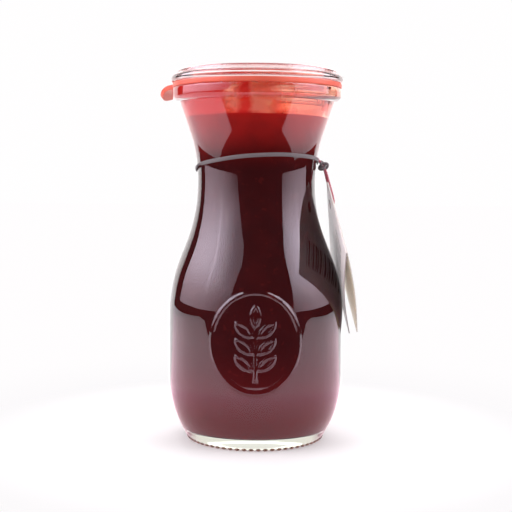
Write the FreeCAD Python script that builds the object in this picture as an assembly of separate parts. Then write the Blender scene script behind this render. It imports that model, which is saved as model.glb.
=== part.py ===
"""A waisted glass bottle of fruit sauce with a glass lid on a rubber ring.

Millimetres, +Z up. The origin is on the bottle's axis in the plane that its foot stands on, and -Y is
the front, where the raised emblem is. Each piece is one solid in a file of its own.
"""

import FreeCAD
import Part
import math
import os
from FreeCAD import Vector

# Bottle: outer wall
belly_radius = 33.86
belly_bottom = 25.4          # the belly is a plain cylinder between these two heights
belly_top = 48.6
heel_radius = 44.9
foot_round = 2.5
foot_land = 1.6              # width of the flat ring that the bottle stands on
push_up = 2.4                # rise of the hollow under the bottle
waist_radius = 22.86
waist_bottom = 99.1          # the waist is a plain cylinder between these two heights
waist_top = 100.4
shoulder_arc_height = 20.7   # heights that the tangent arcs of the wall take up
waist_arc_height = 22.5
flare_arc_height = 17.4

# Bottle: wall, mouth and rim bead
wall = 2.7
floor_height = 5.0           # inside floor, at the cavity's corner
floor_rise = 1.2
floor_round = 6.0
mouth_radius = 26.9
neck_wall = 2.95             # wall of the neck where it meets the bead
rim_width = 5.7              # from the mouth's wall to the outside of the bead
rim_top = 135.2
bead_height = 5.5
bead_under_round = 2.6
bead_top_round = 0.8
mouth_round = 0.6

# Raised emblem on the belly: a plain oval ring round a sprig of leaves
emblem_height = 41.4         # middle of the emblem above the foot
emblem_relief = 0.5
emblem_root = 0.8            # how far the raised shapes are rooted in the wall
oval_half_width = 16.5
oval_half_height = 19.0
oval_line = 1.3
stem_width = 1.2
stem_length = 19.0
leaf_length = 9.0
leaf_width = 4.4
leaf_pairs = 3
leaf_spacing = 6.0
leaf_angle = 48.0            # between the stem and a side leaf
leaf_gap = 0.7               # between the stem and a side leaf's point

# Filling
fill_height = 124.6

# Rubber ring
ring_thickness = 1.8
ring_bore_clearance = 0.3    # ring's hole over the mouth
ring_setback = 0.1           # ring's edge inside the bead's
ring_round = 0.4
tab_azimuth = 112.0          # degrees from the front, towards -X
tab_reach = 8.2              # radius of the half-round tongue
tab_bend_radius = 7.0
tab_droop = 40.0

# Lid
plug_clearance = 0.9         # between the lid's plug and the mouth's wall
plug_depth = 8.6
plug_draft = 0.3
plug_round = 1.2
flange_overhang = 0.65       # past the bead
flange_thickness = 2.9
flange_round = 1.0
stack_setback = 2.25         # stacking rim inside the flange's edge
stack_height = 2.0
stack_width = 2.6
stack_round = 0.9
recess_depth = 2.6

# Elastic band round the neck, with its knot
band_radius = 0.65
band_gap = 0.1               # between the band and the neck, where they come nearest
band_height = 105.9          # where the band's plane crosses the axis
band_pitch = 7.8             # degrees, front side up
band_roll = 3.6              # degrees, right side up
band_forward = 0.42          # centre of the loop in front of the axis
# The knot's two lumps, measured from the band's middle line on the right (+X) side
knot_lumps = [(Vector(0.7, -1.0, 0.7), 1.45), (Vector(1.8, -1.6, -0.6), 1.75)]

# String: a loop from the knot through the tag's hole and back, as chosen by hand, measured from the
# same place as the knot
string_diameter = 1.1
string_route = [
    Vector(2.70, -2.35, -2.15),
    Vector(3.60, -3.45, -5.05),
    Vector(4.45, -4.95, -8.45),
    Vector(5.10, -6.35, -11.60),
    Vector(5.55, -7.35, -14.45),
    Vector(2.90, -7.45, -14.90),
    Vector(2.30, -6.45, -11.75),
    Vector(1.70, -5.00, -8.40),
    Vector(1.40, -3.50, -5.05),
    Vector(1.45, -2.35, -2.35),
]
string_hole_run = 4          # the run of the route that goes through the hole

# Tag: a card folded once, hanging by a hole near one corner
card = 0.4
tag_fold_length = 37.3
tag_leaf_length = 46.2
tag_hole_radius = 1.9
tag_hole_inset = 5.8         # hole's centre from the fold and from the side
tag_turn = 43.0              # turn of the fold about the hole, degrees
tag_yaw = 2.3
tag_splay = 3.3              # opening of the outer leaf
tag_seat = 0.5               # from the inner leaf's face to the middle of the string's run
tag_clearance = 0.57         # between the inner leaf's face and the shoulder


def slope_for(change, arc_heights, rise):
    """Angle of the straight wall that joins two tangent arcs, for a change of radius over a rise."""
    low, high = 0.0, math.radians(89)
    for _ in range(60):
        angle = (low + high) / 2
        reached = arc_heights * math.tan(angle / 2) + (rise - arc_heights) * math.tan(angle)
        low, high = (angle, high) if reached < change else (low, angle)
    return angle


class Outline:
    """A closed outline in the r-z half plane, drawn with lines and arcs, and spun round the axis."""

    def __init__(self, r, z):
        self.start = self.here = Vector(r, 0, z)
        self.edges = []

    def line(self, r, z):
        there = Vector(r, 0, z)
        if there.distanceToPoint(self.here) > 1e-7:
            self.edges.append(Part.LineSegment(self.here, there).toShape())
        self.here = there

    def arc(self, centre, radius, first, last):
        """Round a centre from one angle to another, after a line to where it begins."""
        def at(angle):
            return Vector(centre[0] + radius * math.cos(angle), 0, centre[1] + radius * math.sin(angle))
        begin = at(first)
        self.line(begin.x, begin.z)
        self.edges.append(Part.Arc(self.here, at((first + last) / 2), at(last)).toShape())
        self.here = at(last)

    def corner(self, r, z, radius, first, turn):
        """A quarter-round at a square corner; first is the angle where it begins, turn is +1 or -1."""
        begin, end = math.radians(first), math.radians(first + 90 * turn)
        across = math.cos(begin) + math.cos(end)
        up = math.sin(begin) + math.sin(end)
        self.arc((r - radius * across, z - radius * up), radius, begin, end)

    def face(self):
        self.line(self.start.x, self.start.z)
        return Part.Face(Part.Wire(self.edges))

    def spin(self):
        return self.face().revolve(Vector(0, 0, 0), Vector(0, 0, 1), 360)


bead_radius = mouth_radius + rim_width
bead_bottom = rim_top - bead_height
neck_radius = mouth_radius + neck_wall
shoulder_slope = slope_for(
    belly_radius - waist_radius, shoulder_arc_height + waist_arc_height, waist_bottom - belly_top
)
flare_slope = slope_for(neck_radius - waist_radius, flare_arc_height, bead_bottom - waist_top)
shoulder_arc = shoulder_arc_height / math.sin(shoulder_slope)
waist_arc = waist_arc_height / math.sin(shoulder_slope)
flare_arc = flare_arc_height / math.sin(flare_slope)


def neck_at(height):
    """Outer radius of the waist and of the flare over it at a height."""
    over = max(0.0, height - waist_top)
    return waist_radius + flare_arc - math.sqrt(flare_arc**2 - over**2)


def band_loop(tilt, forward):
    """Radius of a loop that clears the neck on its higher and lower side, tilted by an angle."""
    rise = (waist_radius + band_radius) * math.sin(math.radians(tilt))
    reaches = [neck_at(band_height + side * rise) - side * forward for side in (-1, 1)]
    return (max(reaches) + band_gap + band_radius) / math.cos(math.radians(tilt))


band_loop_radius = max(band_loop(band_pitch, band_forward), band_loop(band_roll, 0))
knot_place = Vector(band_loop_radius, 0, band_height)


def heel(outline, inset, bottom, round_radius):
    """From the foot or the floor up to the belly, as a small round and the long heel arc."""
    long_radius = heel_radius - inset
    lift = math.asin((belly_bottom - bottom - round_radius) / (long_radius - round_radius))
    centre = (belly_radius - heel_radius, belly_bottom)
    small = long_radius - round_radius
    small_centre = (centre[0] + small * math.cos(lift), centre[1] - small * math.sin(lift))
    outline.arc(small_centre, round_radius, -math.pi / 2, -lift)
    outline.arc(centre, long_radius, -lift, 0)


def heel_foot_radius(inset, bottom, round_radius):
    """Radius at which the heel meets a flat foot or floor."""
    small = heel_radius - inset - round_radius
    lift = math.asin((belly_bottom - bottom - round_radius) / small)
    return belly_radius - heel_radius + small * math.cos(lift)


def side(outline, inset, end_radius=None, end_height=None):
    """From the belly up to the flare of the neck, a given distance inside the outer wall."""
    low, middle = (belly_radius - shoulder_arc, belly_top), (waist_radius + waist_arc, waist_bottom)
    high = (waist_radius + flare_arc, waist_top)
    outline.arc(low, shoulder_arc - inset, 0, shoulder_slope)
    outline.arc(middle, waist_arc + inset, math.pi + shoulder_slope, math.pi)
    outline.arc(high, flare_arc + inset, math.pi, math.pi - flare_slope)
    here = outline.here
    if end_radius is None:
        end_radius = here.x + (end_height - here.z) * math.tan(flare_slope)
    else:
        end_height = here.z + (end_radius - here.x) / math.tan(flare_slope)
    outline.line(end_radius, end_height)


def dome(outline, edge_radius, height, rise):
    """A shallow dome from the axis out to its edge, which is at the given height."""
    outline.line(0, height + rise)
    big = (edge_radius**2 + rise**2) / (2 * rise)
    outline.arc((0, height + rise - big), big, math.pi / 2, math.acos(edge_radius / big))


def make_cavity():
    """The space inside the bottle, up to the plane of the rim."""
    corner = heel_foot_radius(wall, floor_height, floor_round)
    outline = Outline(corner, floor_height)
    heel(outline, wall, floor_height, floor_round)
    side(outline, wall, end_radius=mouth_radius)
    outline.line(mouth_radius, rim_top)
    outline.line(0, rim_top)
    dome(outline, corner, floor_height, floor_rise)
    return outline.spin()


def make_body():
    """The bottle's outside as a full solid, with the bead and the hollow under the foot."""
    foot = heel_foot_radius(0, 0, foot_round)
    outline = Outline(foot, 0)
    heel(outline, 0, 0, foot_round)
    side(outline, 0, end_height=bead_bottom)
    outline.corner(bead_radius, bead_bottom, bead_under_round, -90, 1)
    outline.corner(bead_radius, rim_top, bead_top_round, 0, 1)
    outline.line(0, rim_top)
    dome(outline, foot - foot_land, 0, push_up)
    return outline.spin()


def make_mouth_round():
    """The sliver that a rounded mouth takes off the rim."""
    outline = Outline(mouth_radius, rim_top)
    outline.line(mouth_radius, rim_top - mouth_round)
    outline.arc((mouth_radius + mouth_round, rim_top - mouth_round), mouth_round, math.pi, math.pi / 2)
    return outline.spin()


def belly_skin():
    """A thin shell over the front, from the emblem's root in the wall to its raised face."""
    outlines = []
    for inset in (-emblem_relief, emblem_root):
        outline = Outline(0, belly_bottom - heel_radius)
        centre = (belly_radius - heel_radius, belly_bottom)
        outline.arc(centre, heel_radius - inset, -math.asin(belly_bottom / heel_radius), 0)
        side(outline, inset, end_height=bead_bottom)
        outline.line(0, bead_bottom)
        outlines.append(outline.spin())
    return outlines[0].cut(outlines[1])


def flat_oval(half_width, half_height):
    ring = Part.Ellipse(Vector(0, 0, 0), half_height, half_width)
    face = Part.Face(Part.Wire(ring.toShape()))
    face.rotate(Vector(0, 0, 0), Vector(0, 0, 1), 90)
    return face


def flat_leaf(length, width):
    """A pointed leaf between two arcs, from the origin along +Y."""
    tip, middle = Vector(0, length, 0), length / 2
    right = Part.Arc(Vector(0, 0, 0), Vector(width / 2, middle, 0), tip).toShape()
    left = Part.Arc(tip, Vector(-width / 2, middle, 0), Vector(0, 0, 0)).toShape()
    return Part.Face(Part.Wire([right, left]))


def make_emblem():
    """The oval ring and the sprig, drawn flat, pushed through the front wall and cut to its skin."""
    shapes = [
        flat_oval(oval_half_width, oval_half_height).cut(
            flat_oval(oval_half_width - oval_line, oval_half_height - oval_line)
        )
    ]
    foot = -(stem_length + leaf_length) / 2
    shapes.append(Part.makePlane(stem_width, stem_length, Vector(-stem_width / 2, foot, 0)))
    tip = flat_leaf(leaf_length, leaf_width)
    tip.translate(Vector(0, foot + stem_length + leaf_gap, 0))
    shapes.append(tip)
    for pair in range(leaf_pairs):
        for hand in (-1, 1):
            leaf = flat_leaf(leaf_length, leaf_width)
            leaf.rotate(Vector(0, 0, 0), Vector(0, 0, 1), -hand * leaf_angle)
            height = foot + stem_length - leaf_spacing * (pair + 0.5)
            leaf.translate(Vector(hand * (stem_width / 2 + leaf_gap), height, 0))
            shapes.append(leaf)
    depth = belly_radius + 2 * emblem_relief
    solids = []
    for shape in shapes:
        shape.rotate(Vector(0, 0, 0), Vector(1, 0, 0), 90)
        shape.translate(Vector(0, -depth, emblem_height))
        solids.append(shape.extrude(Vector(0, depth, 0)))
    skin = belly_skin()
    return [solid.common(skin) for solid in solids]


def make_bottle(cavity):
    bottle = make_body().cut(cavity).cut(make_mouth_round())
    return bottle.multiFuse(make_emblem())


def make_sauce(cavity):
    """The filling: the cavity's own space up to the fill height."""
    depth = rim_top - fill_height
    return cavity.cut(Part.makeCylinder(2 * belly_radius, depth, Vector(0, 0, fill_height)))


def make_rubber_ring():
    """A flat rubber ring on the rim, with a tongue that droops behind the left side."""
    bore, edge = mouth_radius + ring_bore_clearance, bead_radius - ring_setback
    top = rim_top + ring_thickness
    outline = Outline(bore, rim_top)
    outline.corner(edge, rim_top, ring_round, -90, 1)
    outline.corner(edge, top, ring_round, 0, 1)
    outline.line(bore, top)
    ring = outline.spin()
    droop = math.radians(tab_droop)
    root = (bore + edge) / 2
    tongue = Outline(root, rim_top)
    centre = (edge, rim_top - tab_bend_radius)
    tongue.arc(centre, tab_bend_radius, math.pi / 2, math.pi / 2 - droop)
    here = tongue.here
    reach = 2 * tab_reach
    tongue.line(here.x + reach * math.cos(droop), here.z - reach * math.sin(droop))
    over = ring_thickness * Vector(math.sin(droop), 0, math.cos(droop))
    tongue.line(tongue.here.x + over.x, tongue.here.z + over.z)
    tongue.arc(centre, tab_bend_radius + ring_thickness, math.pi / 2 - droop, math.pi / 2)
    tongue.line(root, top)
    tab = tongue.face()
    tab.translate(Vector(0, -tab_reach, 0))
    tab = tab.extrude(Vector(0, 2 * tab_reach, 0))
    plan = Part.makeCylinder(tab_reach, 2 * rim_top, Vector(edge, 0, 0))
    tab = tab.common(plan)
    tab.rotate(Vector(0, 0, 0), Vector(0, 0, 1), -90 - tab_azimuth)
    return ring.fuse(tab).removeSplitter()


def make_lid():
    """A pressed glass lid: a plug in the mouth, a flange over the ring and a rim for stacking."""
    under = rim_top + ring_thickness
    plug = mouth_radius - plug_clearance
    plug_bottom = under - plug_depth
    edge = bead_radius + flange_overhang
    flange_top = under + flange_thickness
    stack, stack_top = edge - stack_setback, flange_top + stack_height
    recess = stack_top - recess_depth
    outline = Outline(0, plug_bottom)
    outline.corner(plug - plug_draft, plug_bottom, plug_round, -90, 1)
    outline.line(plug, under)
    outline.corner(edge, under, flange_round, -90, 1)
    outline.corner(edge, flange_top, flange_round, 0, 1)
    outline.line(stack, flange_top)
    outline.corner(stack, stack_top, stack_round, 0, 1)
    outline.corner(stack - stack_width, stack_top, stack_round, 90, 1)
    outline.line(stack - stack_width, recess)
    outline.line(0, recess)
    return outline.spin()


def make_neck_band():
    """A round elastic band that slants round the neck, with the two lumps of its knot."""
    band = Part.makeTorus(band_loop_radius, band_radius)
    band.rotate(Vector(0, 0, 0), Vector(1, 0, 0), -band_pitch)
    band.rotate(Vector(0, 0, 0), Vector(0, 1, 0), -band_roll)
    band.translate(Vector(0, -band_forward, band_height))
    return band.multiFuse([Part.makeSphere(radius, knot_place + centre) for centre, radius in knot_lumps])


def make_string():
    """The string's tube: straight runs joined by tangent arcs as large as the runs allow."""
    edges, here, radii = [], string_route[0], []
    for before, point, after in zip(string_route, string_route[1:], string_route[2:]):
        back, on = (before - point).normalize(), (after - point).normalize()
        trim = 0.45 * min(point.distanceToPoint(before), point.distanceToPoint(after))
        half_turn = (math.pi - back.getAngle(on)) / 2
        radii.append(trim / math.tan(half_turn))
        start, end = point + back * trim, point + on * trim
        inward = (back + on).normalize()
        middle = point + inward * (radii[-1] / math.cos(half_turn) - radii[-1])
        edges.append(Part.LineSegment(here, start).toShape())
        edges.append(Part.Arc(start, middle, end).toShape())
        here = end
    edges.append(Part.LineSegment(here, string_route[-1]).toShape())
    path = Part.Wire(edges)
    direction = string_route[1] - string_route[0]
    section = Part.Wire(Part.makeCircle(string_diameter / 2, string_route[0], direction))
    tube = path.makePipeShell([section], True, False)
    tube.translate(knot_place)
    area = math.pi * string_diameter**2 / 4
    print("string: length %.2f mm, volume / (section x length) %.4f, radii %s"
          % (path.Length, tube.Volume / (area * path.Length), [round(r, 1) for r in radii]))
    return tube


def make_tag():
    """Two card leaves joined by a round fold, punched with one hole, hung on the string and leaning
    on the shoulder."""
    def leaf(low):
        corner = Vector(low, -tag_fold_length, -tag_leaf_length)
        return Part.makeBox(card, tag_fold_length, tag_leaf_length, corner)
    outer = leaf(card)
    outer.rotate(Vector(card, 0, 0), Vector(0, 1, 0), -tag_splay)
    fold = Part.makeCylinder(card, tag_fold_length, Vector(card, 0, 0), Vector(0, -1, 0))
    tag = leaf(0).multiFuse([outer, fold])
    reach = 2 * tag_leaf_length
    bore_start = Vector(-reach / 2, -tag_hole_inset, -tag_hole_inset)
    tag = tag.cut(Part.makeCylinder(tag_hole_radius, reach, bore_start, Vector(1, 0, 0)))
    tag.translate(Vector(-tag_seat, tag_hole_inset, tag_hole_inset))
    hang = knot_place + (string_route[string_hole_run] + string_route[string_hole_run + 1]) / 2
    out = Vector(hang.x - tag_seat - (belly_radius - shoulder_arc), hang.z - belly_top, 0)
    lean = math.atan2(out.y, out.x) - math.acos((shoulder_arc + tag_clearance) / out.Length)
    tag.rotate(Vector(0, 0, 0), Vector(1, 0, 0), tag_turn)
    tag.rotate(Vector(0, 0, 0), Vector(0, 1, 0), -math.degrees(lean))
    tag.rotate(Vector(0, 0, 0), Vector(0, 0, 1), tag_yaw)
    tag.translate(hang)
    print("tag: lean %.2f degrees, hung at %.2f %.2f %.2f" % (math.degrees(lean), hang.x, hang.y, hang.z))
    return tag


os.makedirs("parts", exist_ok=True)
cavity = make_cavity()
nodes = {
    "bottle": make_bottle(cavity),
    "sauce": make_sauce(cavity),
    "rubber_ring": make_rubber_ring(),
    "lid": make_lid(),
    "neck_band": make_neck_band(),
    "tag_string": make_string(),
    "tag": make_tag(),
}
for name, shape in nodes.items():
    shape = shape.Solids[0] if len(shape.Solids) == 1 else shape
    box = shape.BoundBox
    print("%-12s solids %d valid %s volume %.1f mm3, x %.2f..%.2f y %.2f..%.2f z %.2f..%.2f"
          % (name, len(shape.Solids), shape.isValid(), shape.Volume,
             box.XMin, box.XMax, box.YMin, box.YMax, box.ZMin, box.ZMax))
    shape.exportStep("parts/%s.step" % name)
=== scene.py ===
"""Looks of a waisted glass bottle of fruit sauce with a glass lid, a neck band and a folded card tag.

Metres, +Z up. The bottle's axis is at the origin and its front, with the raised emblem, faces -Y.
"""

import math

import bmesh
import bpy
import numpy as np
from mathutils import Matrix, Vector, noise
from mathutils.geometry import delaunay_2d_cdt


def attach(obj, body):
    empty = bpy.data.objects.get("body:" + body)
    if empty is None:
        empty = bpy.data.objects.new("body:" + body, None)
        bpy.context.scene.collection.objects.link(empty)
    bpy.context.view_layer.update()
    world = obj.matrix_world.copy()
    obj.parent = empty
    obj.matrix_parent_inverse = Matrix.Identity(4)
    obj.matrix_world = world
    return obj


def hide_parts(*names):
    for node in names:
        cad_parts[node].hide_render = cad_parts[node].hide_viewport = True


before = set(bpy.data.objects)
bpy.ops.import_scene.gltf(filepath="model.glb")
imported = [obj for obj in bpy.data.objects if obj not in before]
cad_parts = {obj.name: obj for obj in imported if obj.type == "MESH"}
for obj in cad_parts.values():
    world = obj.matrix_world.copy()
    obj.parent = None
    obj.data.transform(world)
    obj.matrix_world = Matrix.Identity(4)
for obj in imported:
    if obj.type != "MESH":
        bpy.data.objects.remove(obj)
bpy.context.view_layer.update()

# ---------------------------------------------------------------------------------------------
# Bottle. Blown clear glass with a waist, a thick foot and a heavy round bead at the mouth.
# It is one outline spun round the axis. The front of the belly carries an oval line round a
# sprig of leaves, raised in the mould, and columns of the mesh crowd together there.

mm = 0.001
belly_radius, belly_bottom, belly_top = 33.86, 25.4, 48.6
heel_radius, foot_round, foot_land, push_up = 44.9, 2.5, 1.6, 2.4
waist_radius, waist_bottom, waist_top = 22.86, 99.1, 100.4
shoulder_rise, waist_rise, flare_rise = 20.7, 22.5, 17.4
wall, neck_wall, floor_height, floor_rise, floor_round = 2.7, 2.95, 5.0, 1.2, 6.0
mouth_radius, rim_width, rim_top, mouth_round = 26.9, 5.7, 135.2, 0.6
bead_height, bead_under_round, bead_top_round = 5.5, 2.6, 0.8
emblem_height, emblem_relief, emblem_reach = 41.4, 0.5, 22.0
oval_half_width, oval_half_height, oval_line = 16.5, 19.0, 1.3
stem_width, stem_length, leaf_length, leaf_width = 1.1, 19.0, 8.4, 3.8
leaf_pairs, leaf_spacing, leaf_angle, leaf_gap, ridge = 3, 6.0, math.radians(50), 0.4, 0.45
front_half, fine_turn, plain_turn = math.radians(33), math.radians(0.62), math.radians(2.46)


class Outline:
    """Points (r, z) in millimetres along the lines and arcs of a turned shape."""

    def __init__(self, r, z, step=1.2):
        self.points, self.step = [(r, z)], step

    def line(self, r, z):
        r0, z0 = self.points[-1]
        length = math.hypot(r - r0, z - z0)
        pieces = max(1, round(length / self.step)) if length > 1e-6 else 0
        for i in range(1, pieces + 1):
            self.points.append((r0 + (r - r0) * i / pieces, z0 + (z - z0) * i / pieces))

    def arc(self, centre, radius, first, last):
        def at(angle):
            return centre[0] + radius * math.cos(angle), centre[1] + radius * math.sin(angle)
        self.line(*at(first))
        pieces = max(5, round(abs(last - first) * radius / self.step))
        for i in range(1, pieces + 1):
            self.points.append(at(first + (last - first) * i / pieces))

    def corner(self, r, z, radius, first, turn):
        begin, end = math.radians(first), math.radians(first + 90 * turn)
        across, up = math.cos(begin) + math.cos(end), math.sin(begin) + math.sin(end)
        self.arc((r - radius * across, z - radius * up), radius, begin, end)

    def dome(self, edge_radius, height, rise):
        big = (edge_radius**2 + rise**2) / (2 * rise)
        self.arc((0, height + rise - big), big, math.pi / 2, math.acos(edge_radius / big))


def slope_for(change, arc_heights, rise):
    """Slope of the straight wall between two tangent arcs, for a change of radius over a rise."""
    low, high = 0.0, math.radians(89)
    for _ in range(60):
        angle = (low + high) / 2
        reached = arc_heights * math.tan(angle / 2) + (rise - arc_heights) * math.tan(angle)
        low, high = (angle, high) if reached < change else (low, angle)
    return angle


bend_rises = shoulder_rise + waist_rise
shoulder_slope = slope_for(belly_radius - waist_radius, bend_rises, waist_bottom - belly_top)
bead_bottom = rim_top - bead_height
flare_slope = slope_for(mouth_radius + neck_wall - waist_radius, flare_rise, bead_bottom - waist_top)


def wall_side(outline, inset, bottom, round_radius, fine_step):
    """From the foot or the floor up to the flare of the neck, inset from the outer wall."""
    long_radius, centre = heel_radius - inset, (belly_radius - heel_radius, belly_bottom)
    small = long_radius - round_radius
    lift = math.asin((belly_bottom - bottom - round_radius) / small)
    foot = centre[0] + small * math.cos(lift), centre[1] - small * math.sin(lift)
    outline.step = 0.5
    outline.arc(foot, round_radius, -math.pi / 2, -lift)
    outline.step = 1.0
    fine = math.asin(4.5 / long_radius)
    outline.arc(centre, long_radius, -lift, -fine)
    outline.step = fine_step
    outline.arc(centre, long_radius, -fine, 0)
    shoulder, waist = shoulder_rise / math.sin(shoulder_slope), waist_rise / math.sin(shoulder_slope)
    flare = flare_rise / math.sin(flare_slope)
    centre = (belly_radius - shoulder, belly_top)
    fine = math.asin(13.5 / (shoulder - inset))
    outline.arc(centre, shoulder - inset, 0, fine)
    outline.step = 1.5
    outline.arc(centre, shoulder - inset, fine, shoulder_slope)
    outline.arc((waist_radius + waist, waist_bottom), waist + inset, math.pi + shoulder_slope, math.pi)
    outline.arc((waist_radius + flare, waist_top), flare + inset, math.pi, math.pi - flare_slope)


def foot_reach(inset, bottom, round_radius):
    """Radius at which the heel meets a flat foot or floor."""
    small = heel_radius - inset - round_radius
    lift = math.asin((belly_bottom - bottom - round_radius) / small)
    return belly_radius - heel_radius + small * math.cos(lift)


def cavity_side(inset, step=1.5):
    """The inside of the wall, from the floor's middle up to the mouth, as an outline."""
    outline = Outline(0, floor_height + floor_rise, step)
    outline.dome(foot_reach(wall, floor_height, floor_round), floor_height, floor_rise)
    wall_side(outline, inset, floor_height, floor_round, step)
    r, z = outline.points[-1]
    radius = mouth_radius + wall - inset
    outline.line(radius, z + (radius - r) / math.tan(flare_slope))
    return outline


def new_object(name, data):
    made = bpy.data.objects.new(name, data)
    bpy.context.scene.collection.objects.link(made)
    return made


def face_outwards(mesh, merge_within=None):
    """Turns the faces outwards, once points that lie on one another are merged, and smooths them."""
    work = bmesh.new()
    work.from_mesh(mesh)
    if merge_within is not None:
        bmesh.ops.remove_doubles(work, verts=work.verts, dist=merge_within)
    bmesh.ops.recalc_face_normals(work, faces=work.faces)
    work.to_mesh(mesh)
    work.free()
    mesh.shade_smooth()


def new_piece(name, points, faces, sharp=35):
    """A closed mesh in metres, its faces turned outwards, smooth but for its sharp edges."""
    mesh = bpy.data.meshes.new(name)
    mesh.from_pydata([tuple(p) for p in points], [], [tuple(f) for f in faces])
    face_outwards(mesh, 1e-7)
    mesh.set_sharp_from_angle(angle=math.radians(sharp))
    return new_object(name, mesh)


def spin(name, outline, angles, closed=False):
    """Spins an outline round the axis. Its ends are on the axis, or it is closed on itself."""
    points, rows = [], []
    for r, z in outline:
        if r < 1e-6:
            rows.append([len(points)] * len(angles))
            points.append((0, 0, z * mm))
        else:
            rows.append(range(len(points), len(points) + len(angles)))
            points.extend((r * mm * math.cos(a), r * mm * math.sin(a), z * mm) for a in angles)
    faces = []
    for low, high in zip(rows, list(rows[1:]) + ([rows[0]] if closed else [])):
        for i in range(len(angles)):
            j = (i + 1) % len(angles)
            ring = [low[i], low[j], high[j], high[i]]
            faces.append([v for k, v in enumerate(ring) if v != ring[k - 1]])
    return new_piece(name, points, faces)


def even_angles(count):
    return [2 * math.pi * i / count for i in range(count)]


def emblem_rise(x, z):
    """Height of the relief at a place on the front, x across and z above the emblem's middle."""
    def ellipse(a, b):
        reach = np.sqrt((x / a) ** 2 + (z / b) ** 2) + 1e-9
        return (1 - reach) * reach / (np.sqrt((x / a**2) ** 2 + (z / b**2) ** 2) + 1e-9)

    def leaf(x0, z0, turn):
        u = (x - x0) * math.cos(turn) - (z - z0) * math.sin(turn)
        w = (x - x0) * math.sin(turn) + (z - z0) * math.cos(turn) - leaf_length / 2
        bulge = ((leaf_length / 2) ** 2 + (leaf_width / 2) ** 2) / leaf_width
        inside = bulge - np.hypot(np.abs(u) + bulge - leaf_width / 2, w)
        return raised(ridge - np.abs(inside - ridge))

    def raised(inside, soft=0.32):
        t = np.clip((inside + soft) / (2 * soft), 0, 1)
        return t * t * (3 - 2 * t)

    foot = -(stem_length + leaf_length) / 2
    line = np.minimum(
        ellipse(oval_half_width, oval_half_height),
        -ellipse(oval_half_width - oval_line, oval_half_height - oval_line),
    )
    stem = np.minimum(stem_width / 2 - np.abs(x), np.minimum(z - foot, foot + stem_length - z))
    rise = np.maximum(raised(line), raised(stem))
    rise = np.maximum(rise, leaf(0, foot + stem_length + leaf_gap, 0))
    for pair in range(leaf_pairs):
        for hand in (-1, 1):
            height = foot + stem_length - leaf_spacing * (pair + 0.5)
            rise = np.maximum(rise, leaf(hand * (stem_width / 2 + leaf_gap), height, hand * leaf_angle))
    return emblem_relief * rise


outline = Outline(0, push_up)
foot = foot_reach(0, 0, foot_round)
outline.dome(foot - foot_land, 0, push_up)
wall_side(outline, 0, 0, foot_round, 0.38)
r, z = outline.points[-1]
bead_radius = mouth_radius + rim_width
outline.line(r + (bead_bottom - z) * math.tan(flare_slope), bead_bottom)
outline.step = 0.45
outline.corner(bead_radius, bead_bottom, bead_under_round, -90, 1)
outline.corner(bead_radius, rim_top, bead_top_round, 0, 1)
outline.corner(mouth_radius, rim_top, mouth_round, 90, 1)
outline.step = 1.5
cavity = cavity_side(wall)
outline.line(*cavity.points[-1])
bottle_angles, angle = [], -math.pi / 2 - front_half
while angle < 1.5 * math.pi - front_half:
    bottle_angles.append(angle)
    angle += fine_turn if angle < -math.pi / 2 + front_half else plain_turn
bottle_glass = spin("bottle_glass", outline.points + cavity.points[-2::-1], bottle_angles)
count = len(bottle_glass.data.vertices)
place, normal = np.empty(3 * count), np.empty(3 * count)
bottle_glass.data.vertices.foreach_get("co", place)
bottle_glass.data.vertices.foreach_get("normal", normal)
place, normal = place.reshape(-1, 3), normal.reshape(-1, 3)
over = place[:, 2] / mm - emblem_height
outside = (normal[:, 1] < -0.3) & (place[:, 1] < 0) & (np.abs(over) < emblem_reach)
rise = emblem_rise(place[:, 0] / mm, over) * outside
place += normal * rise[:, None] * mm
bottle_glass.data.vertices.foreach_set("co", place.ravel())
bottle_glass.data.update()


class Shade:
    """A socket in a tree of nodes, with the arithmetic that the finishes are written in."""

    def __init__(self, tree, socket=None):
        self.tree, self.socket = tree, socket

    def node(self, kind, settings=None, inputs=None, output=0):
        """Any node: its settings, then the values or links of its inputs; gives one output."""
        node = self.tree.nodes.new(kind)
        for name, value in (settings or {}).items():
            if name == "stops":
                while len(node.color_ramp.elements) < len(value):
                    node.color_ramp.elements.new(1)
                for stop, (position, colour) in zip(node.color_ramp.elements, value):
                    stop.position, stop.color = position, (*colour, 1)
            else:
                setattr(node, name, value)
        for name, value in (inputs or {}).items():
            if isinstance(value, Shade):
                self.tree.links.new(value.socket, node.inputs[name])
            else:
                node.inputs[name].default_value = value
        return Shade(self.tree, node.outputs[output] if node.outputs else None)

    def split(self, *names):
        """More outputs of the node that this one comes from."""
        return [Shade(self.tree, self.socket.node.outputs[name]) for name in names]

    def maths(self, operation, *others):
        return self.node("ShaderNodeMath", {"operation": operation}, dict(enumerate((self, *others))))

    def __add__(self, other):
        return self.maths("ADD", other)

    def __sub__(self, other):
        return self.maths("SUBTRACT", other)

    def __rsub__(self, other):
        return self * -1 + other

    def __mul__(self, other):
        return self.maths("MULTIPLY", other)

    __radd__, __rmul__ = __add__, __mul__

    def step(self, low, high):
        """0 below low and 1 above high, with a soft change between."""
        return self.node("ShaderNodeMapRange", {"interpolation_type": "SMOOTHSTEP"},
                         {"Value": self, "From Min": low, "From Max": high})

    def blend(self, low, high):
        """A colour between two, by this amount."""
        return self.node("ShaderNodeMix", {"data_type": "RGBA"}, {0: self, 6: low, 7: high}, 2)

    def noise(self, scale, detail=2, stretch=(1, 1, 1), settings=None):
        """Noise on this place, with so many waves a metre, drawn out along an axis by stretch."""
        place = self.node("ShaderNodeMapping", {}, {"Vector": self, "Scale": stretch})
        return self.node("ShaderNodeTexNoise", settings, {"Vector": place, "Scale": scale, "Detail": detail})

    def bump(self, height, distance, strength=1.0):
        return self.node("ShaderNodeBump", {}, {"Height": height, "Distance": distance, "Strength": strength})


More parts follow.
